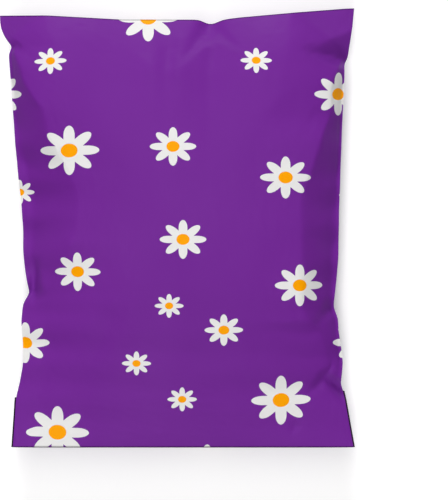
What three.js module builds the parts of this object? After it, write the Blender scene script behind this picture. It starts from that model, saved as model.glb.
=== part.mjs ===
// A filled and sealed poly mailer, lying on its back with its printed front up. It is one piece of
// polyethylene film: folded across the closed end, welded along both sides, with a flap that turns round
// the mouth and is stuck down on the back. Millimetres, +Z up, +X across the bag, +Y from the mouth to the
// closed end. The origin lies on the surface that the bag rests on, under the middle of its outline.

import * as THREE from "three";
import { toCreasedNormals } from "three/addons/utils/BufferGeometryUtils.js";

// Driving dimensions of the film
const FLAT_WIDTH = 254;
const FILLED_LENGTH = 314.4;
const WELD_THICKNESS = 0.6;
const FLAP_THICKNESS = 0.5;

// Driving dimensions of the filling, which lies loose inside and never shows
const FILL_HEIGHT = 50;
const CROWN = 2;
const SIDE_WELD_HEIGHT = 24;
const CLOSED_END_HEIGHT = 26;
const MOUTH_HEIGHT = 28;
const PUCKER_HEIGHT = 1.6;
const PUCKER_SPACING = 27;
const PUCKER_SHIFT_ACROSS = 9;

// How the film rises to the filling: from the flat fin along a weld in a wall up to a crease, and from there
// in a crown. The wall is as steep as its steepness says, but makes no more of the climb than its share.
// Distances are measured in from the edge.
const SIDE_WALL_SHARE = 0.84;
const CLOSED_END_WALL_SHARE = 0.7;
const CLOSED_END_STEEPNESS = 0.5;
const WALL_ROUNDNESS = 0.9;
const SIDE_CROWN_END = 90;
const CLOSED_END_CROWN_END = 105;
const HIP_SHARPNESS = 0.8;
const MOUTH_RISE = 120;
const MOUTH_ROUNDNESS = 1.6;
const UNDERSIDE_SIDE_RISE = 36;
const UNDERSIDE_CLOSED_END_RISE = 62;
const UNDERSIDE_MOUTH_RISE = 80;
const PRESSING = 1.15;

// The flap, whose free edge runs a little askew across the back
const FLAP_LENGTH_LEFT = 35.6;
const FLAP_LENGTH_RIGHT = 39.9;
const FLAP_OVERHANG = 1.1;

// Mesh spacing
const EDGE_COLUMNS = [0, 2, 5, 9, 14, 20, 27, 35, 44];
const MIDDLE_COLUMN = 16;
const LONGEST_ROW = 10;
const SHORTEST_ROW = 2.2;
const SNAP = 0.12;
const CREASE_ANGLE = Math.PI / 5;

// How far each side of the outline stands in from the flat edge, as [share of the length, inset].
// The sharp dips are the notches where the film buckles between the filling and a flat corner.
const LEFT_INSETS = [
  [0, 9.4], [0.116, 11.7], [0.149, 14.1], [0.19, 16.5], [0.235, 16.5], [0.291, 15.3], [0.325, 16.1],
  [0.339, 17.3], [0.347, 19.2], [0.352, 21.7], [0.373, 19.9], [0.41, 17.8], [0.456, 16.6], [0.507, 16.5],
  [0.561, 15.3], [0.614, 13.5], [0.684, 11.4], [0.758, 9.7], [0.824, 8.3], [0.87, 7.2], [0.91, 6.3],
  [0.93, 8.5], [0.939, 5.8], [0.954, 2.9], [0.97, 0.9], [0.986, 0.1], [1, 0],
];
const RIGHT_INSETS = [
  [0, 0.6], [0.126, 7.6], [0.144, 9.5], [0.192, 8], [0.231, 9.4], [0.263, 11.1], [0.293, 11.5],
  [0.307, 13.3], [0.32, 14.8], [0.38, 12.6], [0.437, 11.2], [0.529, 10.8], [0.597, 10.1], [0.677, 9.2],
  [0.751, 8.3], [0.838, 7], [0.875, 6.8], [0.888, 4.3], [0.925, 2.7], [0.961, 1.1], [1, 0],
];

// How much shorter the left side is than the right, and how far the closed end sags below the straight line
// between its corners, as [share of the width, sag]. It has one notch.
const LEFT_SHORTFALL = 5.2;
const CLOSED_END_SAGS = [
  [0, 0], [0.133, 0.5], [0.29, 3.5], [0.34, 4.5], [0.564, 5.8], [0.592, 9.8], [0.632, 6],
  [0.677, 4.8], [0.836, 2], [0.977, 0], [1, 0],
];
const SAG_FADE = 6;

// How far in the creases run, as [share of the width or length, distance], how steep the side walls are and
// how wide the flat fins beside the welds.
const CLOSED_END_CREASE = [
  [0, 24], [0.17, 19], [0.28, 17], [0.36, 23], [0.47, 41], [0.55, 24], [0.59, 16], [0.63, 18],
  [0.69, 29], [0.76, 30], [0.85, 27], [1, 24],
];
const LEFT_CREASE = [
  [0, 14], [0.2, 14], [0.3, 16], [0.36, 19], [0.4, 22], [0.45, 25], [0.52, 31], [0.6, 33], [0.66, 28],
  [0.72, 22], [0.78, 20], [0.83, 13], [0.87, 9], [0.91, 7], [1, 7],
];
const RIGHT_CREASE = [
  [0, 10], [0.18, 9], [0.208, 9], [0.265, 12], [0.285, 20], [0.35, 21], [0.5, 23], [0.586, 24],
  [0.643, 18], [0.723, 12], [0.757, 8], [1, 8],
];
const LEFT_STEEPNESS = [
  [0, 0.25], [0.22, 0.3], [0.36, 0.55], [0.5, 0.9], [0.7, 1], [0.78, 1.2], [0.85, 1.9], [1, 2],
];
const RIGHT_STEEPNESS = [[0, 0.25], [0.13, 0.35], [0.22, 1.2], [0.3, 1.05], [0.6, 1.1], [0.7, 1.6], [1, 2]];
const LEFT_FIN = [
  [0, 2], [0.36, 2], [0.4, 3], [0.45, 6], [0.55, 9], [0.63, 7], [0.7, 3.5], [0.76, 2], [1, 1],
];
const RIGHT_FIN = [[0, 2], [0.3, 2], [0.42, 4], [0.55, 3.5], [0.65, 1.5], [1, 1]];
const CREASE_COLUMN = 20;

// The flat corners beside the closed end, where front and back lie together: how far each reaches down its
// side weld and along the closed end.
const LEFT_EAR = { down: 20, along: 34 };
const RIGHT_EAR = { down: 36, along: 46 };
const EAR_ROUNDNESS = 1.3;

// Folds in the film, each a valley from one place to another, with its depth at either end and how far it
// reaches on either hand of that way where it is deepest. Where it is shallower it is narrower too.
// Places are [share of the width, share of the length].
const FOLDS = [
  { from: [0.592, 0.966], to: [0.49, 0.85], deep: 4.5, shallow: 0, left: 12, right: 9 },
  { from: [0.592, 0.966], to: [0.68, 0.9], deep: 3.5, shallow: 0, left: 8, right: 11 },
  { from: [0.035, 0.914], to: [0.1, 0.885], deep: 2.5, shallow: 0, left: 6, right: 6 },
  { from: [0.995, 0.88], to: [0.88, 0.897], deep: 13, shallow: 3, left: 9, right: 24 },
  { from: [0.3, 0.982], to: [0.296, 0.955], deep: 1.6, shallow: 0.6, left: 3, right: 4 },
  { from: [0.092, 0.352], to: [0.1, 0.425], deep: 8, shallow: 2, left: 5, right: 9 },
  { from: [0.092, 0.352], to: [0.14, 0.335], deep: 6, shallow: 0, left: 8, right: 6 },
  { from: [0.94, 0.32], to: [0.88, 0.27], deep: 3.5, shallow: 1, left: 7, right: 7 },
  { from: [0.97, 0.122], to: [0.915, 0.16], deep: 6, shallow: 4, left: 6, right: 9 },
  { from: [0.915, 0.16], to: [0.865, 0.118], deep: 4, shallow: 0.5, left: 7, right: 5 },
  { from: [0.915, 0.16], to: [0.945, 0.195], deep: 4, shallow: 0, left: 5, right: 5 },
  { from: [0.835, 0.047], to: [0.822, 0.025], deep: 1.8, shallow: 0.6, left: 3, right: 5 },
  { from: [0.31, 0.28], to: [0.26, 0.2], deep: 1.2, shallow: 0.4, left: 14, right: 14 },
  { from: [0.045, 0.6], to: [0.075, 0.47], deep: 1, shallow: 0.4, left: 8, right: 8 },
];
const FOLD_SOFTNESS = 1.15;
const NARROWEST_FOLD = 0.35;
const FOLD_ROOM = 16;

// The print: white daisies of eight petals about an orange disc, drawn wider than tall. A petal keeps its
// width as far out as PETAL_WIDEST and narrows from there in half an ellipse.
// Each one is [share of the width, share of the length, half its width].
const DAISY_HEIGHT_RATIO = 0.83;
const DAISY_PETALS = 8;
const PETAL_HALF_WIDTH = 0.187;
const PETAL_WIDEST = 0.6;
const DISC_RADIUS = 0.28;
const PETAL_TIP_STEPS = 4;
const DISC_STEPS = 10;
const DAISIES = [
  [0.419, 0.978, 21.5], [0.145, 0.878, 11.5], [0.723, 0.879, 11.2], [-0.006, 0.804, 18.7],
  [0.954, 0.804, 18.5], [0.199, 0.674, 21.6], [0.49, 0.683, 16.5], [0.805, 0.613, 18.2],
  [0.056, 0.581, 10.8], [1.0, 0.575, 10.8], [0.518, 0.473, 16.6], [0.222, 0.4, 16.7],
  [0.845, 0.369, 17.9], [0.479, 0.323, 10.3], [0.632, 0.268, 13.7], [0.072, 0.239, 17.7],
  [1.009, 0.238, 18], [0.387, 0.192, 10.4], [0.515, 0.11, 10.5], [0.793, 0.108, 21.3],
  [0.163, 0.034, 22.6], [0.585, -0.036, 16],
];

// Small helpers

const { clamp, lerp } = THREE.MathUtils;

// The value at a share along a list of [share, value] points, straight between them.
function along(points, share) {
  const next = points.findIndex(([s]) => s >= share);
  if (next === 0) return points[0][1];
  if (next < 0) return points.at(-1)[1];
  const [s0, value0] = points[next - 1];
  const [s1, value1] = points[next];
  return lerp(value0, value1, (share - s0) / (s1 - s0));
}

// Rises from 0 at nought to 1 at the full width, steepest at the start.
function rise(distance, width, roundness = 2) {
  const left = 1 - clamp(distance / width, 0, 1);
  return 1 - left ** roundness;
}

// Climbs a wall to its share of the whole at the crease, and then a crown to 1 at the crown's end.
function climb(distance, crease, wallShare, crownEnd) {
  const reach = Math.max(distance, 0);
  if (reach < crease) return wallShare * (reach / crease) ** WALL_ROUNDNESS;
  return lerp(wallShare, 1, rise(reach - crease, crownEnd - crease));
}

function sideClimb(distance, crease, steepness) {
  const share = (steepness * crease) / (FILL_HEIGHT - SIDE_WELD_HEIGHT);
  return climb(distance, crease, Math.min(SIDE_WALL_SHARE, share), SIDE_CROWN_END);
}

function closedEndClimb(distance, crease) {
  const share = (CLOSED_END_STEEPNESS * crease) / (FILL_HEIGHT - CLOSED_END_HEIGHT);
  return climb(distance, crease, Math.min(CLOSED_END_WALL_SHARE, share), CLOSED_END_CROWN_END);
}

// The outline

const HALF_WIDTH = FLAT_WIDTH / 2;
const leftEdge = (v) => -HALF_WIDTH + along(LEFT_INSETS, v);
const rightEdge = (v) => HALF_WIDTH - along(RIGHT_INSETS, v);
const sideLength = (u) => FILLED_LENGTH - lerp(LEFT_SHORTFALL, 0, u);
const lengthAt = (u) => sideLength(u) - along(CLOSED_END_SAGS, u);

// The place on the plan of a share u of the bag's own width and v of its length.
function plan(u, v) {
  const sag = along(CLOSED_END_SAGS, u) * v ** SAG_FADE;
  return [lerp(leftEdge(v), rightEdge(v), u), sideLength(u) * v - sag];
}

// Heights

// The height of the edge where front and back meet, all round. The side welds are shorter than the film that
// they hold, so they run up and down in shallow waves.
function edgeHeight(u, v) {
  const end = lerp(MOUTH_HEIGHT, CLOSED_END_HEIGHT, v);
  const bow = Math.sin(Math.PI * clamp(v, 0, 1));
  const waves = (v * FILLED_LENGTH + u * PUCKER_SHIFT_ACROSS) / PUCKER_SPACING;
  const pucker = PUCKER_HEIGHT * bow * Math.sin(2 * Math.PI * waves);
  return lerp(end, SIDE_WELD_HEIGHT, Math.sqrt(bow)) + pucker;
}

// How deep the folds are at a place on the plan.
function foldDepth(x, y) {
  let deepest = 0;
  for (const { from, to, deep, shallow, left, right } of FOLDS) {
    const start = new THREE.Vector2((from[0] - 0.5) * FLAT_WIDTH, from[1] * FILLED_LENGTH);
    const run = new THREE.Vector2((to[0] - 0.5) * FLAT_WIDTH, to[1] * FILLED_LENGTH).sub(start);
    const reach = new THREE.Vector2(x, y).sub(start);
    const t = clamp(reach.dot(run) / run.lengthSq(), 0, 1);
    const size = lerp(1, shallow / deep, t);
    const width = (run.cross(reach) > 0 ? left : right) * Math.max(size, NARROWEST_FOLD);
    const away = reach.addScaledVector(run, -t).length();
    deepest = Math.max(deepest, deep * size * Math.max(0, 1 - away / width) ** FOLD_SOFTNESS);
  }
  return deepest;
}

// How far down the closed end lies flat, at distances from the two sides.
function earDepth(fromLeft, fromRight) {
  const left = LEFT_EAR.down * (1 - clamp(fromLeft / LEFT_EAR.along, 0, 1)) ** EAR_ROUNDNESS;
  const right = RIGHT_EAR.down * (1 - clamp(fromRight / RIGHT_EAR.along, 0, 1)) ** EAR_ROUNDNESS;
  return left + right;
}

// The front climbs from its edges to the filling's top. Where the climb from a side meets the one from the
// closed end there is a hip, nearly sharp.
function front(u, v) {
  const [x, y] = plan(u, v);
  const fromLeft = x - leftEdge(v);
  const fromRight = rightEdge(v) - x;
  const fromEnd = lengthAt(u) - y - earDepth(fromLeft, fromRight);
  const left = sideClimb(fromLeft - along(LEFT_FIN, v), along(LEFT_CREASE, v), along(LEFT_STEEPNESS, v));
  const right = sideClimb(fromRight - along(RIGHT_FIN, v), along(RIGHT_CREASE, v), along(RIGHT_STEEPNESS, v));
  const closedEnd = closedEndClimb(fromEnd, along(CLOSED_END_CREASE, u));
  const sides = left * right;
  const joined = Math.min(sides, closedEnd) * lerp(Math.max(sides, closedEnd), 1, HIP_SHARPNESS);
  const climbed = joined * rise(y, MOUTH_RISE, MOUTH_ROUNDNESS);
  const bulge = Math.sin(Math.PI * clamp(u, 0, 1)) * Math.sin(Math.PI * clamp(v, 0, 1));
  const top = FILL_HEIGHT - CROWN * (1 - bulge);
  const edge = edgeHeight(u, v) + WELD_THICKNESS / 2;
  return lerp(edge, top, climbed) - foldDepth(x, y);
}

// The back sinks from its edges to the surface below, where the filling's weight presses it flat.
function back(u, v) {
  const [x, y] = plan(u, v);
  const fromLeft = x - leftEdge(v);
  const fromRight = rightEdge(v) - x;
  const fromEnd = Math.max(0, lengthAt(u) - y - earDepth(fromLeft, fromRight));
  const sides = rise(fromLeft, UNDERSIDE_SIDE_RISE) * rise(fromRight, UNDERSIDE_SIDE_RISE);
  const ends = rise(fromEnd, UNDERSIDE_CLOSED_END_RISE) * rise(y, UNDERSIDE_MOUTH_RISE);
  const pressed = Math.min(1, PRESSING * sides * ends);
  const height = lerp(edgeHeight(u, v) - WELD_THICKNESS / 2, 0, pressed);
  return height - foldDepth(x, y) * clamp(height / FOLD_ROOM, 0, 1);
}

// The closed surface, as points and the faces between them

class Surface {
  points = [];
  facesAt = [];
  faces = new Set();

  addPoint(x, y, z) {
    this.facesAt.push(new Set());
    return this.points.push(new THREE.Vector3(x, y, z)) - 1;
  }

  addFace(a, b, c, onFront) {
    const corners = [a, b, c];
    const box = new THREE.Box2().setFromPoints(corners.map((k) => this.points[k]));
    const face = { corners, onFront, box };
    this.faces.add(face);
    for (const k of corners) this.facesAt[k].add(face);
  }

  removeFace(face) {
    this.faces.delete(face);
    for (const k of face.corners) this.facesAt[k].delete(face);
  }

  // Joins two rows of equally many points by a strip of faces.
  addStrip(near, far, onFront = false) {
    for (let i = 0; i + 1 < near.length; i++) {
      this.addFace(near[i], near[i + 1], far[i + 1], onFront);
      this.addFace(near[i], far[i + 1], far[i], onFront);
    }
  }

  // Puts a point on the edge from a to b, and so divides the faces on both of its sides.
  splitEdge(a, b, share) {
    const middle = this.addPoint(...this.points[a].clone().lerp(this.points[b], share));
    for (const face of [...this.facesAt[a]].filter((one) => this.facesAt[b].has(one))) {
      const apex = face.corners.find((k) => k !== a && k !== b);
      const place = face.corners.indexOf(apex);
      const first = face.corners[(place + 1) % 3];
      const second = face.corners[(place + 2) % 3];
      this.removeFace(face);
      this.addFace(apex, first, middle, face.onFront);
      this.addFace(apex, middle, second, face.onFront);
    }
    return middle;
  }

  // Puts a point inside a face, at the given weights of its corners.
  splitFace(face, weights) {
    const corners = face.corners.map((k) => this.points[k]);
    const inside = new THREE.Vector3();
    corners.forEach((corner, i) => inside.addScaledVector(corner, weights[i]));
    const middle = this.addPoint(...inside);
    this.removeFace(face);
    const [a, b, c] = face.corners;
    this.addFace(a, b, middle, face.onFront);
    this.addFace(b, c, middle, face.onFront);
    this.addFace(c, a, middle, face.onFront);
    return middle;
  }

  frontFacesNear(box) {
    return [...this.faces].filter((face) => face.onFront && face.box.intersectsBox(box));
  }
}

function columns() {
  const edge = EDGE_COLUMNS.map((inset) => inset / FLAT_WIDTH);
  const middle = 1 - 2 * edge.at(-1);
  const count = Math.ceil((middle * FLAT_WIDTH) / MIDDLE_COLUMN);
  const between = Array.from({ length: count - 1 }, (_, i) => edge.at(-1) + (middle * (i + 1)) / count);
  return [...edge, ...between, ...edge.map((u) => 1 - u).reverse()];
}

// The rows as [share of the left side, share of the right side], with one along the flap's free edge, one at
// each point of the outline that isn't too close to another row, and more in the wide gaps.
function rows() {
  const flapEdge = [FLAP_LENGTH_LEFT / sideLength(0), FLAP_LENGTH_RIGHT / sideLength(1)];
  const shortest = SHORTEST_ROW / FILLED_LENGTH;
  const longest = LONGEST_ROW / FILLED_LENGTH;
  const clear = (v) => v < Math.min(...flapEdge) - shortest || v > Math.max(...flapEdge) + shortest;
  const level = [...LEFT_INSETS, ...RIGHT_INSETS].filter(([v]) => clear(v)).map(([v]) => [v, v]);
  const wanted = [...level, flapEdge].sort((a, b) => a[0] - b[0]);
  const kept = [[0, 0]];
  for (const row of wanted) {
    const start = kept.at(-1);
    const gap = Math.max(row[0] - start[0], row[1] - start[1]);
    if (gap < shortest && row !== flapEdge) continue;
    const steps = Math.ceil(gap / longest);
    for (let i = 1; i <= steps; i++)
      kept.push([lerp(start[0], row[0], i / steps), lerp(start[1], row[1], i / steps)]);
  }
  kept[kept.length - 1] = [1, 1];
  const free = kept.findIndex(([left, right]) => left === flapEdge[0] && right === flapEdge[1]);
  return { all: kept, free };
}

// Moves a column so that the one at CREASE_COLUMN from each side runs along the crease there.
function followCrease(u, v) {
  const onLeft = u < 0.5;
  const side = Math.min(u, 1 - u);
  const column = CREASE_COLUMN / FLAT_WIDTH;
  const [fin, wall] = onLeft ? [LEFT_FIN, LEFT_CREASE] : [RIGHT_FIN, RIGHT_CREASE];
  const crease = (along(fin, v) + along(wall, v)) / (rightEdge(v) - leftEdge(v));
  const inside = lerp(crease, 0.5, (side - column) / (0.5 - column));
  const moved = side < column ? (side * crease) / column : inside;
  return onLeft ? moved : 1 - moved;
}

// The bag as front, back and the narrow edge between them. Up to the flap's free edge the back is the flap's
// outer side, which lies lower by its thickness and stands out past the sides.
function mailerSurface() {
  const surface = new Surface();
  const us = columns();
  const { all, free } = rows();
  const row = ([left, right], height, overhang = 0) =>
    us.map((column) => {
      const u = followCrease(column, lerp(left, right, column));
      const v = lerp(left, right, u);
      const [x, y] = plan(u, v);
      const out = column === 0 ? -overhang : column === 1 ? overhang : 0;
      return surface.addPoint(x + out, y, height(u, v));
    });
  const flap = (u, v) => back(u, v) - FLAP_THICKNESS;
  const over = all.map((one) => row(one, front));
  const folded = all.slice(0, free + 1).map((one) => row(one, flap, FLAP_OVERHANG));
  const plain = all.slice(free).map((one) => row(one, back));
  const under = [...folded, ...plain];
  for (let j = 0; j + 1 < over.length; j++) surface.addStrip(over[j], over[j + 1], true);
  for (let j = 0; j + 1 < under.length; j++) surface.addStrip(under[j + 1], under[j]);
  surface.addStrip(under[0], over[0]);
  surface.addStrip(over.at(-1), under.at(-1));
  const side = (rowsOfPoints, column) => rowsOfPoints.map((points) => points.at(column));
  for (const [column, order] of [[0, -1], [-1, 1]]) {
    const upper = side(over, column);
    const lower = side(under, column);
    const strips = [
      [lower.slice(0, free + 1), upper.slice(0, free + 1)],
      [lower.slice(free + 1), upper.slice(free)],
    ];
    for (const pair of strips) surface.addStrip(...(order > 0 ? pair : pair.reverse()));
    const corner = [upper[free], lower[free], lower[free + 1]];
    surface.addFace(...(order > 0 ? corner : corner.reverse()), false);
  }
  return surface;
}

// Drawing outlines into the front

// The point of the front at a place, added if none is near, or undefined where the front doesn't reach.
function pointAt(surface, place) {
  const box = new THREE.Box2().setFromCenterAndSize(place, new THREE.Vector2(SNAP, SNAP).multiplyScalar(2));
  const faces = surface.frontFacesNear(box);
  const isNear = (k) => flatDistance(surface.points[k], place) < SNAP;
  const near = faces.flatMap((face) => face.corners).find(isNear);
  if (near !== undefined) return near;
  for (const face of faces) {
    const [a, b, c] = face.corners.map((k) => surface.points[k]);
    const whole = turn(a, b, c);
    const weights = [turn(b, c, place) / whole, turn(c, a, place) / whole, turn(a, b, place) / whole];
    if (Math.min(...weights) < 0) continue;
    for (const [apex, start, end] of [[0, 1, 2], [1, 2, 0], [2, 0, 1]]) {
      const [from, to] = [face.corners[start], face.corners[end]];
      const away = (weights[apex] * whole) / flatDistance(surface.points[from], surface.points[to]);
      if (away < SNAP) return surface.splitEdge(from, to, weights[end] / (weights[start] + weights[end]));
    }
    return surface.splitFace(face, weights);
  }
  return undefined;
}

// Twice the area of the triangle a, b, c in plan, below nought where it runs clockwise.
function turn(a, b, c) {
  return (b.x - a.x) * (c.y - a.y) - (b.y - a.y) * (c.x - a.x);
}

function flatDistance(a, b) {
  return Math.hypot(a.x - b.x, a.y - b.y);
}

// Divides the front's faces so that the straight line between two places runs along their edges. It bends
// by less than half of SNAP to pass through a point that is already there.
function drawLine(surface, from, to) {
  const box = new THREE.Box2().setFromPoints([from, to]);
  const faces = surface.frontFacesNear(box.expandByScalar(SNAP));
  const length = flatDistance(from, to);
  const between = (k) => {
    const point = surface.points[k];
    const forward = (point.x - from.x) * (to.x - from.x) + (point.y - from.y) * (to.y - from.y);
    const passes = forward > 0 && forward < length ** 2;
    const clear = Math.min(flatDistance(from, point), flatDistance(to, point)) >= SNAP;
    return passes && clear && Math.abs(turn(from, to, point)) / length < SNAP / 2;
  };
  let stop = faces.flatMap((face) => face.corners).find(between);
  if (stop === undefined) {
    const edges = faces.flatMap(({ corners: [a, b, c] }) => [[a, b], [b, c], [c, a]]);
    const crossed = edges.find(([a, b]) => crosses(from, to, surface.points[a], surface.points[b]));
    if (!crossed) return;
    const [before, after] = crossed.map((k) => turn(from, to, surface.points[k]));
    stop = surface.splitEdge(...crossed, before / (before - after));
  }
  drawLine(surface, from, surface.points[stop]);
  drawLine(surface, surface.points[stop], to);
}

function crosses(a, b, c, d) {
  return turn(a, b, c) * turn(a, b, d) < 0 && turn(c, d, a) * turn(c, d, b) < 0;
}

// The print

// A daisy's outline, from one notch between petals to the next, as points about its centre with the petals'
// tips at 1.
function petalOutline() {
  const points = [];
  for (let petal = 0; petal < DAISY_PETALS; petal++) {
    const axis = (petal / DAISY_PETALS) * 2 * Math.PI;
    const notch = Math.PI / DAISY_PETALS;
    points.push(polar(PETAL_HALF_WIDTH / Math.sin(notch), axis - notch));
    for (let i = 0; i <= PETAL_TIP_STEPS; i++) {
      const tip = polar(1, (i / PETAL_TIP_STEPS - 0.5) * Math.PI);
      tip.set(lerp(PETAL_WIDEST, 1, tip.x), PETAL_HALF_WIDTH * tip.y);
      points.push(tip.rotateAround(new THREE.Vector2(), axis));
    }
  }
  return points;
}

function discOutline() {
  return Array.from({ length: DISC_STEPS }, (_, i) => polar(DISC_RADIUS, (i / DISC_STEPS) * 2 * Math.PI));
}

function polar(radius, angle) {
  return new THREE.Vector2(Math.cos(angle), Math.sin(angle)).multiplyScalar(radius);
}

function drawDaisy(surface, { centre, radius }) {
  const scale = new THREE.Vector2(radius, radius * DAISY_HEIGHT_RATIO);
  for (const outline of [petalOutline(), discOutline()]) {
    const places = outline.map((point) => {
      const place = point.multiply(scale).add(centre);
      const drawn = pointAt(surface, place);
      return drawn === undefined ? place : surface.points[drawn];
    });
    places.forEach((place, i) => drawLine(surface, place, places[(i + 1) % places.length]));
  }
}

// Which ink covers a place on the front: 0 for bare film, 1 for petals and 2 for a disc.
function inkAt(place, daisies) {
  for (const { centre, radius } of daisies) {
    const scale = new THREE.Vector2(radius, radius * DAISY_HEIGHT_RATIO);
    const local = place.clone().sub(centre).divide(scale);
    if (local.length() < DISC_RADIUS) return 2;
    const step = (2 * Math.PI) / DAISY_PETALS;
    const axis = Math.round(local.angle() / step) * step;
    local.rotateAround(new THREE.Vector2(), -axis);
    const pastWidest = Math.max(0, local.x - PETAL_WIDEST) / (1 - PETAL_WIDEST);
    if (Math.hypot(pastWidest, local.y / PETAL_HALF_WIDTH) < 1) return 1;
  }
  return 0;
}

// Materials

const film = new THREE.MeshStandardMaterial({ color: 0x77359a, roughness: 0.42, metalness: 0 });
const petalInk = new THREE.MeshStandardMaterial({ color: 0xeeedef, roughness: 0.5, metalness: 0 });
const discInk = new THREE.MeshStandardMaterial({ color: 0xfea604, roughness: 0.5, metalness: 0 });

// The printed bag, with one group of faces for each material

function printedMailer() {
  const surface = mailerSurface();
  const daisies = DAISIES.map(([across, up, radius]) => {
    const centre = new THREE.Vector2((across - 0.5) * FLAT_WIDTH, up * FILLED_LENGTH);
    return { centre, radius };
  });
  for (const daisy of daisies) drawDaisy(surface, daisy);
  const inks = [[], [], []];
  for (const { corners, onFront } of surface.faces) {
    const points = corners.map((k) => surface.points[k]);
    const middle = new THREE.Vector2();
    for (const point of points) middle.add(new THREE.Vector2(point.x / 3, point.y / 3));
    inks[onFront ? inkAt(middle, daisies) : 0].push(...points);
  }
  const geometry = new THREE.BufferGeometry().setFromPoints(inks.flat());
  let start = 0;
  inks.forEach((points, material) => {
    geometry.addGroup(start, points.length, material);
    start += points.length;
  });
  return new THREE.Mesh(toCreasedNormals(geometry, CREASE_ANGLE), [film, petalInk, discInk]);
}

// The whole mailer, moved so that the middle of its outline is over the origin

const bag = printedMailer();
bag.name = "mailer_bag";
const box = new THREE.Box3().setFromObject(bag);
const middle = box.getCenter(new THREE.Vector3());
bag.position.set(-middle.x, -middle.y, -box.min.z);

const mailer = new THREE.Group();
mailer.add(bag);

export default mailer;
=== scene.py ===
"""A filled and sealed poly mailer, lying on its back with its printed front up.

The bag is one sheet of film: it runs up the front, turns over the closed end and comes back down the back,
with both sides welded, and a last strip turns round the mouth as the flap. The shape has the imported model's
dimensions, in millimetres as there, on a finer grid. The film is cut a little longer than that shape along
the welds, as the flat bag is, so a cloth simulation puckers it there. The print is drawn by the material in
the film's own coordinates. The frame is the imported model's: +Z out of the front, +Y towards the closed end.
"""
import math

import bpy
import numpy as np
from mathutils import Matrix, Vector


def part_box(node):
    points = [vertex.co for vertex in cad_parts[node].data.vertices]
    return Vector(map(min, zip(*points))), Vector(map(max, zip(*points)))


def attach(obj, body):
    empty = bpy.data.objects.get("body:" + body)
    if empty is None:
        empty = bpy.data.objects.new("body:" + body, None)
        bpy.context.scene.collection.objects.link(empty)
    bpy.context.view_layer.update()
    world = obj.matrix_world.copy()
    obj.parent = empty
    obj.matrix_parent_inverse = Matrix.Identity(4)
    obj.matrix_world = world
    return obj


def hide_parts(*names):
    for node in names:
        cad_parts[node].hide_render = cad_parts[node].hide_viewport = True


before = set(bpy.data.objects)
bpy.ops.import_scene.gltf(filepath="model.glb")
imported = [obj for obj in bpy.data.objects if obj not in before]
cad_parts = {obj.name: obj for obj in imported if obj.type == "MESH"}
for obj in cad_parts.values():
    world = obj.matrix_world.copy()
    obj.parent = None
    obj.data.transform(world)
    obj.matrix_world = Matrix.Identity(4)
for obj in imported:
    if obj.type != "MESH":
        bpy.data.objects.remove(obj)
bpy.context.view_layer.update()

MM = 0.001

# The real bag, flat and empty, and filled
FLAT_WIDTH = 254
FLAT_LENGTH = 330
FILLED_LENGTH = 314.4
FILM_GAP = 0.6

# The filling
FILL_HEIGHT = 50
CROWN = 2
SIDE_WELD_HEIGHT = 24
CLOSED_END_HEIGHT = 26
MOUTH_HEIGHT = 28
PUCKER_HEIGHT = 1.6
PUCKER_SPACING = 27
PUCKER_SHIFT_ACROSS = 9

# How the film rises from the fin along a weld in a wall to a crease, and from there in a crown
SIDE_WALL_SHARE = 0.84
CLOSED_END_WALL_SHARE = 0.7
CLOSED_END_STEEPNESS = 0.5
WALL_ROUNDNESS = 0.9
SIDE_CROWN_END = 90
CLOSED_END_CROWN_END = 105
HIP_SHARPNESS = 0.8
MOUTH_RISE = 120
MOUTH_ROUNDNESS = 1.6
UNDERSIDE_SIDE_RISE = 36
UNDERSIDE_CLOSED_END_RISE = 62
UNDERSIDE_MOUTH_RISE = 80
PRESSING = 1.15

# The flap, whose free edge runs a little askew, and how far its ends stand out past the sides
FLAP_LENGTH_LEFT = 35.6
FLAP_LENGTH_RIGHT = 39.9
FLAP_OVERHANG = 1.1
FLAP_THICKNESS = 0.3
FLAP_GAP = 0.15
FLAP_ROWS = 12

# The outline and the creases, as [share of the length or width, millimetres], how steep the side walls
# are, and how wide the flat fins beside the welds
LEFT_INSETS = [
    [0, 9.4], [0.116, 11.7], [0.149, 14.1], [0.19, 16.5], [0.235, 16.5], [0.291, 15.3], [0.325, 16.1],
    [0.339, 17.3], [0.347, 19.2], [0.352, 21.7], [0.373, 19.9], [0.41, 17.8], [0.456, 16.6], [0.507, 16.5],
    [0.561, 15.3], [0.614, 13.5], [0.684, 11.4], [0.758, 9.7], [0.824, 8.3], [0.87, 7.2], [0.91, 6.3],
    [0.93, 8.5], [0.939, 5.8], [0.954, 2.9], [0.97, 0.9], [0.986, 0.1], [1, 0],
]
RIGHT_INSETS = [
    [0, 0.6], [0.126, 7.6], [0.144, 9.5], [0.192, 8], [0.231, 9.4], [0.263, 11.1], [0.293, 11.5],
    [0.307, 13.3], [0.32, 14.8], [0.38, 12.6], [0.437, 11.2], [0.529, 10.8], [0.597, 10.1], [0.677, 9.2],
    [0.751, 8.3], [0.838, 7], [0.875, 6.8], [0.888, 4.3], [0.925, 2.7], [0.961, 1.1], [1, 0],
]
LEFT_SHORTFALL = 5.2
CLOSED_END_SAGS = [
    [0, 0], [0.133, 0.5], [0.29, 3.5], [0.34, 4.5], [0.564, 5.8], [0.592, 9.8], [0.632, 6],
    [0.677, 4.8], [0.836, 2], [0.977, 0], [1, 0],
]
SAG_FADE = 6
CLOSED_END_CREASE = [
    [0, 24], [0.17, 19], [0.28, 17], [0.36, 23], [0.47, 41], [0.55, 24], [0.59, 16], [0.63, 18],
    [0.69, 29], [0.76, 30], [0.85, 27], [1, 24],
]
LEFT_CREASE = [
    [0, 14], [0.2, 14], [0.3, 16], [0.36, 19], [0.4, 22], [0.45, 25], [0.52, 31], [0.6, 33], [0.66, 28],
    [0.72, 22], [0.78, 20], [0.83, 13], [0.87, 9], [0.91, 7], [1, 7],
]
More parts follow.
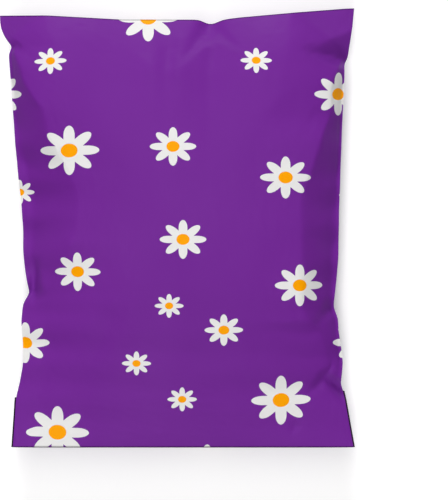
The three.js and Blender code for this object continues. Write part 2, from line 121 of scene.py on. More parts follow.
RIGHT_CREASE = [
    [0, 10], [0.18, 9], [0.208, 9], [0.265, 12], [0.285, 20], [0.35, 21], [0.5, 23], [0.586, 24],
    [0.643, 18], [0.723, 12], [0.757, 8], [1, 8],
]
LEFT_STEEPNESS = [
    [0, 0.25], [0.22, 0.3], [0.36, 0.55], [0.5, 0.9], [0.7, 1], [0.78, 1.2], [0.85, 1.9], [1, 2],
]
RIGHT_STEEPNESS = [[0, 0.25], [0.13, 0.35], [0.22, 1.2], [0.3, 1.05], [0.6, 1.1], [0.7, 1.6], [1, 2]]
LEFT_FIN = [[0, 2], [0.36, 2], [0.4, 3], [0.45, 6], [0.55, 9], [0.63, 7], [0.7, 3.5], [0.76, 2], [1, 1]]
RIGHT_FIN = [[0, 2], [0.3, 2], [0.42, 4], [0.55, 3.5], [0.65, 1.5], [1, 1]]

# The flat corners, where front and back lie together: how far each reaches along its side weld, and how far
# along the closed end
CLOSED_END_EARS = (20, 34), (36, 46)
EAR_ROUNDNESS = 1.3

# Valleys in the film, as (from, to, depth at the first, depth at the second, width to the left of that way,
# width to its right). Places are (share of the width, share of the length).
FOLDS = [
    ((0.592, 0.966), (0.49, 0.85), 4.5, 0, 12, 9),
    ((0.592, 0.966), (0.68, 0.9), 3.5, 0, 8, 11),
    ((0.035, 0.914), (0.10, 0.885), 2.5, 0, 6, 6),
    ((0.995, 0.88), (0.88, 0.897), 13, 3, 9, 24),
    ((0.3, 0.982), (0.296, 0.955), 1.6, 0.6, 3, 4),
    ((0.092, 0.352), (0.1, 0.425), 8, 2, 5, 9),
    ((0.092, 0.352), (0.14, 0.335), 6, 0, 8, 6),
    ((0.94, 0.32), (0.88, 0.27), 3.5, 1, 7, 7),
    ((0.97, 0.122), (0.915, 0.16), 6, 4, 6, 9),
    ((0.915, 0.16), (0.865, 0.118), 4, 0.5, 7, 5),
    ((0.915, 0.16), (0.945, 0.195), 4, 0, 5, 5),
    ((0.835, 0.047), (0.822, 0.025), 1.8, 0.6, 3, 5),
    ((0.31, 0.28), (0.26, 0.2), 1.2, 0.4, 14, 14),
    ((0.045, 0.6), (0.075, 0.47), 1, 0.4, 8, 8),
]
FOLD_SOFTNESS = 1.15
NARROWEST_FOLD = 0.35
FOLD_ROOM = 16

# The film's grid, closer together towards the edges, with one column along each side's crease
COLUMNS = 90
ROWS = 112
EDGE_CROWDING = 0.35
CREASE_COLUMN = 20

# The photograph's frame, and the bag's place in it, in pixels
PICTURE_WIDTH = 448
PICTURE_HEIGHT = 500
BAG_LEFT_PIXEL = 0.5
BAG_RIGHT_PIXEL = 354.6
BAG_TOP_PIXEL = 9.3
BAG_BOTTOM_PIXEL = 446.2

# The camera, in metres, with its sensor in millimetres and the height of the outline that it is aimed at
CAMERA_DISTANCE = 2.4
SENSOR = 36
OUTLINE_HEIGHT = 0.017

# The simulation. The border is held fast, and inside it the hold grows from nothing to MIDDLE_HOLD over
# these reaches.
FRAMES = 14
STEPS_A_FRAME = 4
MOST_MOVE = 0.004
PRESSURE = 4.0
FILM_MASS = 0.1
STRETCH_STIFFNESS = 40
SHEAR_STIFFNESS = 15
BENDING_STIFFNESS = 1.2
SIDE_REACH = 60
END_REACH = 90
MIDDLE_HOLD = 0.35
SEED = 7
ROUGHENING = 0.08

# The print. Each daisy is [share of the flat width, share of the filled length, half its width], as seen
# from above. The pattern repeats along the sheet, and follows the film's slopes in part.
DAISY_HEIGHT_RATIO = 0.83
DAISY_PETALS = 8
PETAL_HALF_WIDTH = 0.187
PETAL_WIDEST = 0.6
DISC_RADIUS = 0.28
DAISIES = [
    [0.419, 0.978, 21.5], [0.145, 0.878, 11.5], [0.723, 0.879, 11.2], [-0.006, 0.804, 18.7],
    [0.954, 0.804, 18.5], [0.199, 0.674, 21.6], [0.49, 0.683, 16.5], [0.805, 0.613, 18.2],
    [0.056, 0.581, 10.8], [1.0, 0.575, 10.8], [0.518, 0.473, 16.6], [0.222, 0.4, 16.7],
    [0.845, 0.369, 17.9], [0.479, 0.323, 10.3], [0.632, 0.268, 13.7], [0.072, 0.239, 17.7],
    [1.009, 0.238, 18], [0.387, 0.192, 10.4], [0.515, 0.11, 10.5], [0.793, 0.108, 21.3],
    [0.163, 0.034, 22.6], [0.585, -0.036, 16],
]
PRINT_REPEAT = 1.12
PRINT_START = -0.08
PRINT_FOLLOW = 0.3

# The film's finish. Relief and widths are in millimetres, and a noise is (waves across each metre, waves
# along each metre, detail).
FILM_COLOUR = (0.168, 0.0230, 0.300, 1)
FILM_SHADE = (0.158, 0.0195, 0.286, 1)
PETAL_COLOUR = (0.80, 0.80, 0.795, 1)
DISC_COLOUR = (0.98, 0.37, 0.0005, 1)
INSIDE_COLOUR = (0.012, 0.006, 0.018, 1)
CLOUDS = (11, 8, 2.0)
CLOUD_START = 0.35
CLOUD_END = 0.75
RUBBING = (38, 22, 3.0)
SMOOTHEST = 0.32
RUBBED_ROUGHER = 0.22
WELD_SMOOTHER = 0.08
WRINKLES = (120, 55, 3.0)
WRINKLE_HEIGHT = 0.12
GRAIN = (1400, 1400, 1.0)
GRAIN_HEIGHT = 0.006
WELD_WIDTH = 4
WELD_EDGE = 0.4
WELD_DEPTH = 0.05
# Painted shade along the folds at the mouth and the closed end: the width of the darkened band, and how much
# of the colour is left in it
PAINTED_FOLD_SHADE_WIDTH = 1.1
PAINTED_FOLD_SHADE = 0.5
FILM_SPECULAR = 0.04
INSIDE_SPECULAR = 0.1
INSIDE_NOISE = 90
INSIDE_SMOOTHEST = 0.35
INSIDE_ROUGHER = 0.2
FAR_FROM_BORDER = 0.1

# The studio, in metres. A lamp is (name, width, length, power, place, colour).
FLOOR_HALF_SIZE = 6.0
FLOOR_GAP = 0.0003
FLOOR_COLOUR = (0.7, 0.7, 0.7, 1)
FLOOR_ROUGHNESS = 0.9
FLOOR_SPECULAR = 0.1
FLOOR_LIFT = 0.42
WORLD_COLOUR = (0.93, 0.95, 1.07, 1)
WORLD_STRENGTH = 0.09
LAMPS = [
    ("overhead", 0.6, 4.0, 36, (-0.16, 0.0, 2.0), (1.0, 0.99, 0.97)),
    ("far", 0.7, 0.7, 34, (-0.15, 2.2, 1.1), (1.0, 0.99, 0.98)),
    ("near", 0.7, 0.7, 14, (-0.15, -2.2, 1.1), (1.0, 0.99, 0.98)),
]


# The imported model's shape

def along(points, share):
    """The value at a share along a list of [share, value] points, straight between them."""
    shares, values = zip(*points)
    return np.interp(share, shares, values)


def lerp(a, b, t):
    return a + (b - a) * t


def rise(distance, width, roundness=2):
    """A rise from 0 at nought to 1 at the full width, steepest at the start."""
    return 1 - (1 - np.clip(distance / width, 0, 1)) ** roundness


def climb(distance, crease, wall_share, crown_end):
    """A climb up a wall to its share of the whole at the crease, and then up a crown to 1."""
    reach = np.maximum(distance, 0)
    wall = wall_share * (reach / crease) ** WALL_ROUNDNESS
    crown = lerp(wall_share, 1, rise(reach - crease, crown_end - crease))
    return np.where(reach < crease, wall, crown)


def side_climb(distance, crease, steepness):
    share = np.minimum(SIDE_WALL_SHARE, steepness * crease / (FILL_HEIGHT - SIDE_WELD_HEIGHT))
    return climb(distance, crease, share, SIDE_CROWN_END)


def closed_end_climb(distance, crease):
    steepness = CLOSED_END_STEEPNESS * crease / (FILL_HEIGHT - CLOSED_END_HEIGHT)
    return climb(distance, crease, np.minimum(CLOSED_END_WALL_SHARE, steepness), CLOSED_END_CROWN_END)


def left_edge(v):
    return -FLAT_WIDTH / 2 + along(LEFT_INSETS, v)


def right_edge(v):
    return FLAT_WIDTH / 2 - along(RIGHT_INSETS, v)


def side_length(u):
    return FILLED_LENGTH - lerp(LEFT_SHORTFALL, 0, u)


def place_on_plan(u, v):
    """The place, seen from above, of a share u of the bag's own width and v of its length."""
    sag = along(CLOSED_END_SAGS, u) * v ** SAG_FADE
    return lerp(left_edge(v), right_edge(v), u), side_length(u) * v - sag


def edge_height(u, v):
    """The height of the edge where front and back meet, which puckers up and down along the side welds."""
    bow = np.sin(np.pi * np.clip(v, 0, 1))
    waves = (v * FILLED_LENGTH + u * PUCKER_SHIFT_ACROSS) / PUCKER_SPACING
    pucker = PUCKER_HEIGHT * bow * np.sin(2 * np.pi * waves)
    return lerp(lerp(MOUTH_HEIGHT, CLOSED_END_HEIGHT, v), SIDE_WELD_HEIGHT, np.sqrt(bow)) + pucker


def beside(x, y, start, end):
    """How far each place is along the line from start to end, as a share, how far away from it, and whether
    it is to the left of the way there."""
    start = np.array([(start[0] - 0.5) * FLAT_WIDTH, start[1] * FILLED_LENGTH])
    run = np.array([(end[0] - 0.5) * FLAT_WIDTH, end[1] * FILLED_LENGTH]) - start
    t = np.clip(((x - start[0]) * run[0] + (y - start[1]) * run[1]) / (run @ run), 0, 1)
    on_left = run[0] * (y - start[1]) - run[1] * (x - start[0]) > 0
    return t, np.hypot(x - start[0] - t * run[0], y - start[1] - t * run[1]), on_left


def fold_depth(x, y):
    """How deep the folds are at each place."""
    deepest = np.zeros_like(x)
    for start, end, deep, shallow, left_width, right_width in FOLDS:
        t, away, on_left = beside(x, y, start, end)
        size = lerp(1, shallow / deep, t)
        width = np.where(on_left, left_width, right_width) * np.maximum(size, NARROWEST_FOLD)
        deepest = np.maximum(deepest, deep * size * np.maximum(0, 1 - away / width) ** FOLD_SOFTNESS)
    return deepest


def past_ears(distance, from_left, from_right):
    """How far in from the closed end each place is, less that end's flat corners."""
    for (down, reach), away in zip(CLOSED_END_EARS, (from_left, from_right)):
        distance = distance - down * (1 - np.clip(away / reach, 0, 1)) ** EAR_ROUNDNESS
    return np.maximum(0, distance)


def distances(u, v, x, y):
    """How far in each place is from the left, the right, the closed end and the mouth."""
    from_left, from_right = x - left_edge(v), right_edge(v) - x
    from_end = side_length(u) - along(CLOSED_END_SAGS, u) - y
    return from_left, from_right, past_ears(from_end, from_left, from_right), y


def front_height(u, v, x, y):
    from_left, from_right, from_end, from_mouth = distances(u, v, x, y)
    past_left_fin = from_left - along(LEFT_FIN, v)
    past_right_fin = from_right - along(RIGHT_FIN, v)
    left = side_climb(past_left_fin, along(LEFT_CREASE, v), along(LEFT_STEEPNESS, v))
    right = side_climb(past_right_fin, along(RIGHT_CREASE, v), along(RIGHT_STEEPNESS, v))
    sides = left * right
    ends = closed_end_climb(from_end, along(CLOSED_END_CREASE, u))
    climbed = np.minimum(sides, ends) * lerp(np.maximum(sides, ends), 1, HIP_SHARPNESS)
    climbed = climbed * rise(from_mouth, MOUTH_RISE, MOUTH_ROUNDNESS)
    bulge = np.sin(np.pi * np.clip(u, 0, 1)) * np.sin(np.pi * np.clip(v, 0, 1))
    top = FILL_HEIGHT - CROWN * (1 - bulge)
    return lerp(edge_height(u, v) + FILM_GAP / 2, top, climbed)


def back_height(u, v, x, y):
    from_left, from_right, from_end, from_mouth = distances(u, v, x, y)
    sides = rise(from_left, UNDERSIDE_SIDE_RISE) * rise(from_right, UNDERSIDE_SIDE_RISE)
    ends = rise(from_end, UNDERSIDE_CLOSED_END_RISE) * rise(from_mouth, UNDERSIDE_MOUTH_RISE)
    pressed = np.minimum(1, PRESSING * sides * ends)
    return lerp(edge_height(u, v) - FILM_GAP / 2, 0, pressed)


# The film's grid

def crowded(count):
    """Shares from 0 to 1 that lie closer together near both ends."""
    t = np.linspace(0, 1, count + 1)
    return t - EDGE_CROWDING * np.sin(2 * np.pi * t) / (2 * np.pi)


def follow_crease(u, v):
    """Moves a column so that the one at CREASE_COLUMN from each side runs along the crease there."""
    side = np.minimum(u, 1 - u)
    column = CREASE_COLUMN / FLAT_WIDTH
    on_left = along(LEFT_FIN, v) + along(LEFT_CREASE, v)
    crease = np.where(u < 0.5, on_left, along(RIGHT_FIN, v) + along(RIGHT_CREASE, v))
    crease = crease / (right_edge(v) - left_edge(v))
    inside = lerp(crease, 0.5, (side - column) / (0.5 - column))
    moved = np.where(side < column, side * crease / column, inside)
    return np.where(u < 0.5, moved, 1 - moved)


vs, us = np.meshgrid(crowded(ROWS), crowded(COLUMNS), indexing="ij")
us = follow_crease(us, vs)
plan_x, plan_y = place_on_plan(us, vs)
front_z = front_height(us, vs, plan_x, plan_y)
back_z = back_height(us, vs, plan_x, plan_y)
folds = fold_depth(plan_x, plan_y)
edge = np.ones_like(front_z, bool)
edge[1:-1, 1:-1] = False
front_z[edge] = back_z[edge] = (front_z[edge] + back_z[edge]) / 2
low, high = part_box("mailer_bag")
middle = (low + high) / 2
overhang_middle = (left_edge(1.0) + right_edge(0.0) + FLAP_OVERHANG) / 2
plan_x = plan_x * MM + middle.x - overhang_middle * MM
plan_y = plan_y * MM + middle.y - FILLED_LENGTH / 2 * MM
front = np.dstack([plan_x, plan_y, front_z * MM])
back = np.dstack([plan_x, plan_y, back_z * MM])


# The film as a closed grid

def vertex_numbers():
    """Vertex numbers of the front's and the back's grids, which share their edges."""
    count = (ROWS + 1) * (COLUMNS + 1)
    over = np.arange(count).reshape(ROWS + 1, COLUMNS + 1)
    under = over.copy()
    under[1:-1, 1:-1] = count + np.arange((ROWS - 1) * (COLUMNS - 1)).reshape(ROWS - 1, COLUMNS - 1)
    return over, under


def quads(grid, flip=False):
    """The faces of a grid of vertex numbers."""
    a, b, c, d = grid[:-1, :-1], grid[:-1, 1:], grid[1:, 1:], grid[1:, :-1]
    faces = np.stack([a, b, c, d], axis=-1).reshape(-1, 4)
    return faces[:, ::-1] if flip else faces


over, under = vertex_numbers()


def joined(front_grid, back_grid):
    """The two grids' points as one list, in the order of the vertex numbers."""
    return np.concatenate([front_grid.reshape(-1, 3), back_grid[1:-1, 1:-1].reshape(-1, 3)])


def for_each_point(grid):
    """A value for each vertex number from a grid that holds for front and back."""
    return np.concatenate([grid.ravel(), grid[1:-1, 1:-1].ravel()])


def new_mesh(name, points, faces):
    mesh = bpy.data.meshes.new(name)
    mesh.from_pydata([tuple(p) for p in points], [], [tuple(int(k) for k in f) for f in faces])
    obj = bpy.data.objects.new(name, mesh)
    bpy.context.scene.collection.objects.link(obj)
    return obj


def arc_shares(grid, axis):
    """Shares of the length along the grid's rows (axis 1) or columns (axis 0), averaged over the middle."""
    steps = np.linalg.norm(np.diff(grid, axis=axis), axis=2)
    inner = steps[ROWS // 4:-ROWS // 4] if axis == 1 else steps[:, COLUMNS // 4:-COLUMNS // 4]
    mean = inner.mean(axis=1 - axis)
    total = np.concatenate([[0], np.cumsum(mean)])
    return total / total[-1]


def flat_sheet():
    """The film cut flat: the length that each part of it has before it is filled."""
    s = (arc_shares(front, 1) + arc_shares(back, 1)) / 2 - 0.5
    t = (arc_shares(front, 0) + arc_shares(back, 0)) / 2
    flat = np.zeros_like(front)
    flat[:, :, 0] = s[None, :] * FLAT_WIDTH * MM
    flat[:, :, 1] = t[:, None] * FLAT_LENGTH * MM
    return flat


def hold(film):
    """A vertex group that holds the border fast, and the rest more softly the nearer it is to the border."""
    held = film.vertex_groups.new(name="held")
    from_side = np.minimum(us, 1 - us) * FLAT_WIDTH
    from_end = np.minimum(vs, 1 - vs) * FLAT_LENGTH
    inner = np.clip(np.minimum(from_side / SIDE_REACH, from_end / END_REACH), 0, 1) ** 2 * MIDDLE_HOLD
    for number, weight in enumerate(for_each_point(np.where(edge, 1.0, inner))):
        held.add([number], float(weight), "REPLACE")
    return held


def add_cloth(film, held, flat_key):
    """Makes the film a cloth that is blown up from inside and wants to be as long as the flat sheet."""
    cloth = film.modifiers.new("cloth", "CLOTH")
    settings = cloth.settings
    settings.quality = STEPS_A_FRAME
    settings.mass = FILM_MASS
    settings.tension_stiffness = STRETCH_STIFFNESS
    settings.compression_stiffness = STRETCH_STIFFNESS
    settings.shear_stiffness = SHEAR_STIFFNESS
    settings.bending_stiffness = BENDING_STIFFNESS
    settings.use_pressure = True
    settings.uniform_pressure_force = PRESSURE
    settings.vertex_group_mass = held.name
    settings.pin_stiffness = 1
    settings.rest_shape_key = flat_key
    settings.effector_weights.gravity = 0
    cloth.collision_settings.use_collision = False
    cloth.point_cache.frame_start = 1
    cloth.point_cache.frame_end = FRAMES


def settle():
    """Runs the cloth simulation on the closed film and returns the new front and back grids."""
    started = joined(front, back)
    rough = np.random.default_rng(SEED).normal(0, ROUGHENING * MM, started.shape)
    rough[for_each_point(edge)] = 0
    film = new_mesh("film_simulation", started + rough, np.concatenate([quads(over), quads(under, True)]))
    film.shape_key_add(name="filled")
    flat_key = film.shape_key_add(name="flat")
    flat = flat_sheet()
    flat_key.data.foreach_set("co", joined(flat, flat).ravel())
    add_cloth(film, hold(film), flat_key)
    for number in range(1, FRAMES + 1):
        bpy.context.scene.frame_set(number)
    done = film.evaluated_get(bpy.context.evaluated_depsgraph_get()).to_mesh()
    points = np.zeros(len(done.vertices) * 3)
    done.vertices.foreach_get("co", points)
    bpy.data.objects.remove(film)
    bpy.context.scene.frame_set(1)

    move = points.reshape(-1, 3) - started
    distance = np.linalg.norm(move, axis=1, keepdims=True)
    move *= np.minimum(1, MOST_MOVE / np.maximum(distance, 1e-9))
    points = started + move
    return points[over], points[under]


front, back = settle()
front[:, :, 2] -= folds * MM
room = np.clip(back[:, :, 2] / MM / FOLD_ROOM, 0, 1)
back[:, :, 2] -= folds * MM * room
back[:, :, 2] = np.maximum(back[:, :, 2], low.z)


# The film's own coordinates

def face_loops(uv_grid, grid, flip=False):
    """One map coordinate for each corner of each face, in the order of quads()."""
    flat_uv = uv_grid.reshape(-1, 2)
    local = np.arange(grid.size).reshape(grid.shape)
    return flat_uv[quads(local, flip).ravel()]


def film_map(grid):
    """The film's own coordinates, PRINT_FOLLOW of the way from its plan to its measured length."""
    coordinates = np.zeros(grid.shape[:2] + (2,))
    for axis, direction, middle_line in ((1, 0, COLUMNS // 2), (0, 1, ROWS // 2)):
        steps = np.linalg.norm(np.diff(grid, axis=axis), axis=2)
        start = np.zeros_like(np.take(steps, [0], axis))
        measured = np.concatenate([start, np.cumsum(steps, axis=axis)], axis)
        plan = grid[:, :, direction]
        shift = np.take(plan, [middle_line], axis) - np.take(measured, [middle_line], axis)
        coordinates[:, :, direction] = lerp(plan, measured + shift, PRINT_FOLLOW)
    return coordinates


front_map = film_map(front)
back_map = film_map(back)
fold_y = front_map[-1, :, 1]
back_map[:, :, 1] = fold_y[None, :] + (back_map[-1, :, 1][None, :] - back_map[:, :, 1])


def border_map():
    """How far each place of the bag is from the nearest weld and from the nearest end, in metres."""
    from_weld = np.minimum(us, 1 - us) * FLAT_WIDTH * MM
    from_end = np.minimum(vs, 1 - vs) * FILLED_LENGTH * MM
    return np.dstack([from_weld, from_end])


def film_at(x, y):
    """The film coordinates of the place of the front that is seen at (x, y) from above."""
    flat_plan = front[:, :, :2].reshape(-1, 2)
    nearest = np.argmin(np.hypot(*(flat_plan - [x, y]).T))
    at = flat_plan[nearest]
    return front_map.reshape(-1, 2)[nearest] + [x - at[0], y - at[1]]


# The flap

def back_point(column, distance):
    """The point of the back at a distance from the mouth along a column."""
    line = back[:, column]
    y = line[:, 1] - line[0, 1]
    return np.array([np.interp(distance, y, line[:, k]) for k in range(3)])


def back_at(column, distance):
    """The point and outward normal of the back at a distance from the mouth along a column."""
    point = back_point(column, distance)
    ahead = back_point(column, distance + 2 * MM)
    on_left = back_point(max(column - 1, 0), distance)
    on_right = back_point(min(column + 1, COLUMNS), distance)
    normal = np.cross(on_right - on_left, ahead - point)
    return point, -normal / np.linalg.norm(normal)


def flap_place(row, column):
    """The inner point, outer point and film coordinates of a place of the flap. The columns before the first
    and after the last are its ends, which stand out past the sides."""
    at = min(max(column, 0), COLUMNS)
    flap_length = lerp(FLAP_LENGTH_LEFT, FLAP_LENGTH_RIGHT, us[0, at]) * MM
    distance = flap_length * row / FLAP_ROWS
    point, normal = back_at(at, distance)
    across = front_map[0, at, 0]
    if column != at:
        point = point + [np.sign(column) * FLAP_OVERHANG * MM, 0, 0]
        normal = np.array([0, 0, -1.0])
        across = across + point[0] - back[0, at, 0]
    inner = point + normal * FLAP_GAP * MM
    outer = point + normal * (FLAP_GAP + FLAP_THICKNESS) * MM
    return inner, outer, (across, front_map[0, at, 1] - distance)


def flap_grids():
    """The flap's inner and outer sides as grids of points, and their film coordinates."""
    grid = [[flap_place(row, column) for column in range(-1, COLUMNS + 2)] for row in range(FLAP_ROWS + 1)]
    return [np.array([[place[kind] for place in row] for row in grid]) for kind in range(3)]


def border_of(grid):
    """The vertex numbers round a grid, in order."""
    return np.concatenate([grid[0, :], grid[1:, -1], grid[-1, -2::-1], grid[-2:0:-1, 0]])


# The visible film

def sharpen(mesh, on_border, *rings):
    """Makes the film's border and the flap's rims crisp."""
    sharp = {tuple(sorted(pair)) for ring in rings for pair in zip(ring, np.roll(ring, -1))}
    crease = mesh.attributes.new("crease_edge", "FLOAT", "EDGE")
    for one in mesh.edges:
        a, b = one.vertices
        if (on_border[a] and on_border[b]) or (min(a, b), max(a, b)) in sharp:
            one.use_edge_sharp = True
            crease.data[one.index].value = 1


def add_map(mesh, name, loops):
    mesh.uv_layers.new(name=name).data.foreach_set("uv", loops.ravel())


def build_film():
    """The film with its flap, as one mesh. It has two maps, of its own coordinates and of the distance from
    its border, and a second material slot for the flap's dark inner side and rim."""
    bag_points = joined(front, back)
    bag_faces = np.concatenate([quads(over), quads(under, True)])
    bag_map = np.concatenate([face_loops(front_map, over), face_loops(back_map, under, True)])
    bag_borders = np.concatenate([face_loops(border_map(), over), face_loops(border_map(), under, True)])

    inner, outer, flap_map = flap_grids()
    start = len(bag_points)
    outer_numbers = start + np.arange(outer.shape[0] * outer.shape[1]).reshape(outer.shape[:2])
    inner_numbers = outer_numbers + outer_numbers.size
    outer_ring, inner_ring = border_of(outer_numbers), border_of(inner_numbers)
    rim = np.stack([outer_ring, inner_ring, np.roll(inner_ring, -1), np.roll(outer_ring, -1)], axis=1)
    flap_faces = np.concatenate([quads(outer_numbers, True), quads(inner_numbers), rim])
    flap_places = np.concatenate([flap_map.reshape(-1, 2), flap_map.reshape(-1, 2)])
    flap_loops = flap_places[(flap_faces - start).ravel()]

    points = np.concatenate([bag_points, outer.reshape(-1, 3), inner.reshape(-1, 3)])
    faces = np.concatenate([bag_faces, flap_faces])
    film = new_mesh("film_envelope", points, faces)
    add_map(film.data, "film", np.concatenate([bag_map, flap_loops]))
    add_map(film.data, "border", np.concatenate([bag_borders, np.full_like(flap_loops, FAR_FROM_BORDER)]))
    dark = np.arange(len(faces)) >= len(bag_faces) + len(quads(outer_numbers))
    film.data.polygons.foreach_set("material_index", dark.astype(np.int32))
    film.data.polygons.foreach_set("use_smooth", np.ones(len(faces), bool))
    on_border = np.concatenate([for_each_point(edge), np.zeros(len(points) - start, bool)])
    sharpen(film.data, on_border, outer_ring, inner_ring)
    return film


film = build_film()
film.data.validate()
film.data.update()
smoothing = film.modifiers.new("smoothing", "SUBSURF")
smoothing.levels = smoothing.render_levels = 1


# Materials

def material(name):
    """A new material with its node tree and its shader's inputs."""
    made = bpy.data.materials.new(name)
    made.use_nodes = True
    return made, made.node_tree, made.node_tree.nodes["Principled BSDF"].inputs


def connect(tree, socket, value):
    """Gives a socket another node's output, or sets it to a number or colour."""
    if isinstance(value, (int, float, tuple)):
        socket.default_value = value
    else:
        tree.links.new(value, socket)


def math_node(tree, operation, *inputs):
    """A Math node with the given inputs, each a number or another node's output. Returns its output."""
    made = tree.nodes.new("ShaderNodeMath")
    made.operation = operation
    for socket, value in zip(made.inputs, inputs):
        connect(tree, socket, value)
    return made.outputs[0]


def mix(tree, first, second, factor, blend_type="MIX"):
    """A blend of two colours, each a colour or another node's output."""
    made = tree.nodes.new("ShaderNodeMix")
    made.data_type = "RGBA"
    made.blend_type = blend_type
    connect(tree, made.inputs["Factor"], factor)
    connect(tree, made.inputs[6], first)
    connect(tree, made.inputs[7], second)
    return made.outputs[2]


def noise(tree, place, across, along_film, detail):
    """Noise in the film's coordinates, with so many waves a metre across and along."""
    stretch = tree.nodes.new("ShaderNodeCombineXYZ")
    connect(tree, stretch.inputs[0], math_node(tree, "MULTIPLY", place["X"], across))
    connect(tree, stretch.inputs[1], math_node(tree, "MULTIPLY", place["Y"], along_film))
    pattern = tree.nodes.new("ShaderNodeTexNoise")
    pattern.inputs["Scale"].default_value = 1
    pattern.inputs["Detail"].default_value = detail
    tree.links.new(stretch.outputs[0], pattern.inputs["Vector"])
    return pattern.outputs["Fac"]


def band(tree, distance, start, end):
    """0 before the start, 1 beyond the end, and a smooth step between."""
    step = tree.nodes.new("ShaderNodeMapRange")
    step.interpolation_type = "SMOOTHSTEP"
    step.inputs["From Min"].default_value = start
    step.inputs["From Max"].default_value = end
    tree.links.new(distance, step.inputs["Value"])
    return step.outputs["Result"]


def map_place(tree, name):
    """The coordinates in one of the mesh's maps, as outputs X and Y."""
    uv = tree.nodes.new("ShaderNodeUVMap")
    uv.uv_map = name
    split = tree.nodes.new("ShaderNodeSeparateXYZ")
    tree.links.new(uv.outputs[0], split.inputs[0])
    return split.outputs


def daisy_group():
    """A node group that says how much of a daisy's petals and disc cover a place of the film."""
    group = bpy.data.node_groups.new("daisy", "ShaderNodeTree")
    for name in ("X", "Y", "Centre X", "Centre Y", "Half width"):
        group.interface.new_socket(name, in_out="INPUT", socket_type="NodeSocketFloat")
    for name in ("Petals", "Disc"):
        group.interface.new_socket(name, in_out="OUTPUT", socket_type="NodeSocketFloat")
    entry = group.nodes.new("NodeGroupInput").outputs
    leave = group.nodes.new("NodeGroupOutput").inputs

    def m(*args):
        return math_node(group, *args)

    x = m("DIVIDE", m("SUBTRACT", entry["X"], entry["Centre X"]), entry["Half width"])
    tall = m("MULTIPLY", entry["Half width"], DAISY_HEIGHT_RATIO)
    y = m("DIVIDE", m("SUBTRACT", entry["Y"], entry["Centre Y"]), tall)
    radius = m("SQRT", m("ADD", m("MULTIPLY", x, x), m("MULTIPLY", y, y)))
    sector = 2 * math.pi / DAISY_PETALS
    turns = m("DIVIDE", m("ARCTAN2", y, x), sector)
    off_axis = m("MULTIPLY", m("SUBTRACT", turns, m("ROUND", turns)), sector)
    along_petal = m("MULTIPLY", radius, m("COSINE", off_axis))
    aside = m("MULTIPLY", radius, m("SINE", off_axis))
    past_widest = m("MAXIMUM", m("SUBTRACT", along_petal, PETAL_WIDEST), 0.0)
    past_widest = m("DIVIDE", past_widest, 1 - PETAL_WIDEST)
    across_petal = m("DIVIDE", aside, PETAL_HALF_WIDTH)
    away = m("ADD", m("MULTIPLY", past_widest, past_widest), m("MULTIPLY", across_petal, across_petal))
    group.links.new(m("LESS_THAN", away, 1.0), leave["Petals"])
    group.links.new(m("LESS_THAN", radius, DISC_RADIUS), leave["Disc"])
    return group


def daisy_print(tree, place):
    """How much of the print's petals and of its discs cover a place of the film."""
    repeat = PRINT_REPEAT * FILLED_LENGTH * MM
    begin = PRINT_START * FILLED_LENGTH * MM + low.y
    shifted = math_node(tree, "SUBTRACT", place["Y"], begin)
    wrapped = math_node(tree, "ADD", math_node(tree, "FLOORED_MODULO", shifted, repeat), begin)
    group = daisy_group()
    petals = discs = 0.0
    for across_share, along_share, half_width in DAISIES:
        x = (across_share - 0.5) * FLAT_WIDTH * MM + middle.x - overhang_middle * MM
        y = low.y + along_share * FILLED_LENGTH * MM
        centre_x, centre_y = film_at(x, y)
        daisy = tree.nodes.new("ShaderNodeGroup")
        daisy.node_tree = group
        tree.links.new(place["X"], daisy.inputs["X"])
        tree.links.new(wrapped, daisy.inputs["Y"])
        daisy.inputs["Centre X"].default_value = centre_x
        daisy.inputs["Centre Y"].default_value = centre_y
        daisy.inputs["Half width"].default_value = half_width * MM
        petals = math_node(tree, "MAXIMUM", petals, daisy.outputs["Petals"])
        discs = math_node(tree, "MAXIMUM", discs, daisy.outputs["Disc"])
    return petals, discs


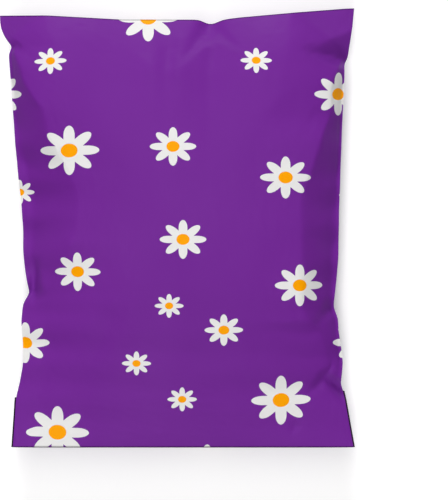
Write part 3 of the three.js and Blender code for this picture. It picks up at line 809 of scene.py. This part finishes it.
def film_material():
    """Printed polythene: slightly uneven purple, rubbed and wrinkled, with sealed welds, and painted shade
    that darkens the colour along the folds at both ends.
    """
    made, tree, shader = material("printed film")
    place = map_place(tree, "film")
    border = map_place(tree, "border")
    off_weld = band(tree, border["X"], (WELD_WIDTH - WELD_EDGE) * MM, WELD_WIDTH * MM)
    in_weld = math_node(tree, "SUBTRACT", 1.0, off_weld)
    # Painted shade: a mask for a band along the folds at both ends
    off_painted_fold_shade = band(tree, border["Y"], PAINTED_FOLD_SHADE_WIDTH / 2 * MM, PAINTED_FOLD_SHADE_WIDTH * MM)

    cloudy = band(tree, noise(tree, place, *CLOUDS), CLOUD_START, CLOUD_END)
    petals, discs = daisy_print(tree, place)
    inked = mix(tree, mix(tree, FILM_COLOUR, FILM_SHADE, cloudy), PETAL_COLOUR, petals)
    inked = mix(tree, inked, DISC_COLOUR, discs)
    # Painted shade: the colour is darkened along the folds at both ends
    painted_fold_shade = math_node(tree, "MULTIPLY", off_painted_fold_shade, 1 - PAINTED_FOLD_SHADE)
    painted_fold_shade = math_node(tree, "ADD", painted_fold_shade, PAINTED_FOLD_SHADE)
    connect(tree, shader["Base Color"], mix(tree, inked, painted_fold_shade, 1.0, "MULTIPLY"))

    rough = math_node(tree, "MULTIPLY", noise(tree, place, *RUBBING), RUBBED_ROUGHER)
    rough = math_node(tree, "ADD", rough, SMOOTHEST)
    rough = math_node(tree, "SUBTRACT", rough, math_node(tree, "MULTIPLY", in_weld, WELD_SMOOTHER))
    connect(tree, shader["Roughness"], rough)
    shader["Specular IOR Level"].default_value = FILM_SPECULAR

    wrinkles = math_node(tree, "MULTIPLY", noise(tree, place, *WRINKLES), WRINKLE_HEIGHT * MM)
    grain = math_node(tree, "MULTIPLY", noise(tree, place, *GRAIN), GRAIN_HEIGHT * MM)
    seal = math_node(tree, "MULTIPLY", in_weld, -WELD_DEPTH * MM)
    bump = tree.nodes.new("ShaderNodeBump")
    bump.inputs["Strength"].default_value = 1
    bump.inputs["Distance"].default_value = 1
    height = math_node(tree, "ADD", math_node(tree, "ADD", wrinkles, grain), seal)
    connect(tree, bump.inputs["Height"], height)
    connect(tree, shader["Normal"], bump.outputs[0])
    return made


def inside_material():
    """The film's dark inner side."""
    made, tree, shader = material("film inside")
    shader["Base Color"].default_value = INSIDE_COLOUR
    shader["Specular IOR Level"].default_value = INSIDE_SPECULAR
    pattern = tree.nodes.new("ShaderNodeTexNoise")
    pattern.inputs["Scale"].default_value = INSIDE_NOISE
    place = tree.nodes.new("ShaderNodeTexCoord").outputs["Object"]
    connect(tree, pattern.inputs["Vector"], place)
    rough = math_node(tree, "MULTIPLY", pattern.outputs["Fac"], INSIDE_ROUGHER)
    connect(tree, shader["Roughness"], math_node(tree, "ADD", rough, INSIDE_SMOOTHEST))
    return made


film.data.materials.append(film_material())
film.data.materials.append(inside_material())
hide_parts("mailer_bag")
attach(film, "root")


# Floor, lights and camera

def build_floor():
    """A pale floor just under the bag, which the camera and reflections see white."""
    size = FLOOR_HALF_SIZE
    corners = [(-size, -size, 0), (size, -size, 0), (size, size, 0), (-size, size, 0)]
    floor = new_mesh("floor", corners, [(0, 1, 2, 3)])
    floor.location.z = low.z - FLOOR_GAP
    made, tree, shader = material("floor")
    shader["Base Color"].default_value = FLOOR_COLOUR
    shader["Roughness"].default_value = FLOOR_ROUGHNESS
    shader["Specular IOR Level"].default_value = FLOOR_SPECULAR
    path = tree.nodes.new("ShaderNodeLightPath").outputs
    seen = math_node(tree, "MAXIMUM", path["Is Camera Ray"], path["Is Glossy Ray"])
    seen = math_node(tree, "MAXIMUM", seen, path["Is Transmission Ray"])
    shader["Emission Color"].default_value = (1, 1, 1, 1)
    connect(tree, shader["Emission Strength"], math_node(tree, "MULTIPLY", seen, FLOOR_LIFT))
    floor.data.materials.append(made)


def softbox(name, width, length, power, place, colour):
    """A rectangular lamp, long in Y, that faces the origin."""
    light = bpy.data.lights.new(name, "AREA")
    light.shape = "RECTANGLE"
    light.size = width
    light.size_y = length
    light.energy = power
    light.color = colour
    obj = bpy.data.objects.new(name, light)
    obj.location = place
    x, y, z = place
    obj.rotation_euler = (-math.atan2(y, z), math.atan2(x, z), 0)
    bpy.context.scene.collection.objects.link(obj)


def build_lights():
    world = bpy.data.worlds.new("studio")
    world.use_nodes = True
    background = world.node_tree.nodes["Background"]
    background.inputs["Color"].default_value = WORLD_COLOUR
    background.inputs["Strength"].default_value = WORLD_STRENGTH
    bpy.context.scene.world = world
    for lamp in LAMPS:
        softbox(*lamp)


def build_camera():
    """A camera that looks straight down, with the bag where the photograph has it."""
    pixel = (high.y - low.y) / (BAG_BOTTOM_PIXEL - BAG_TOP_PIXEL)
    bag_x = (BAG_LEFT_PIXEL + BAG_RIGHT_PIXEL) / 2
    bag_y = (BAG_TOP_PIXEL + BAG_BOTTOM_PIXEL) / 2
    aim_x = middle.x + (PICTURE_WIDTH / 2 - bag_x) * pixel
    aim_y = middle.y + (bag_y - PICTURE_HEIGHT / 2) * pixel
    data = bpy.data.cameras.new("camera")
    data.sensor_width = SENSOR
    data.lens = SENSOR * CAMERA_DISTANCE / (PICTURE_HEIGHT * pixel)
    camera = bpy.data.objects.new("camera", data)
    camera.location = aim_x, aim_y, OUTLINE_HEIGHT + CAMERA_DISTANCE
    bpy.context.scene.collection.objects.link(camera)
    bpy.context.scene.camera = camera


build_floor()
build_lights()
build_camera()
bpy.context.scene.view_settings.view_transform = "Standard"
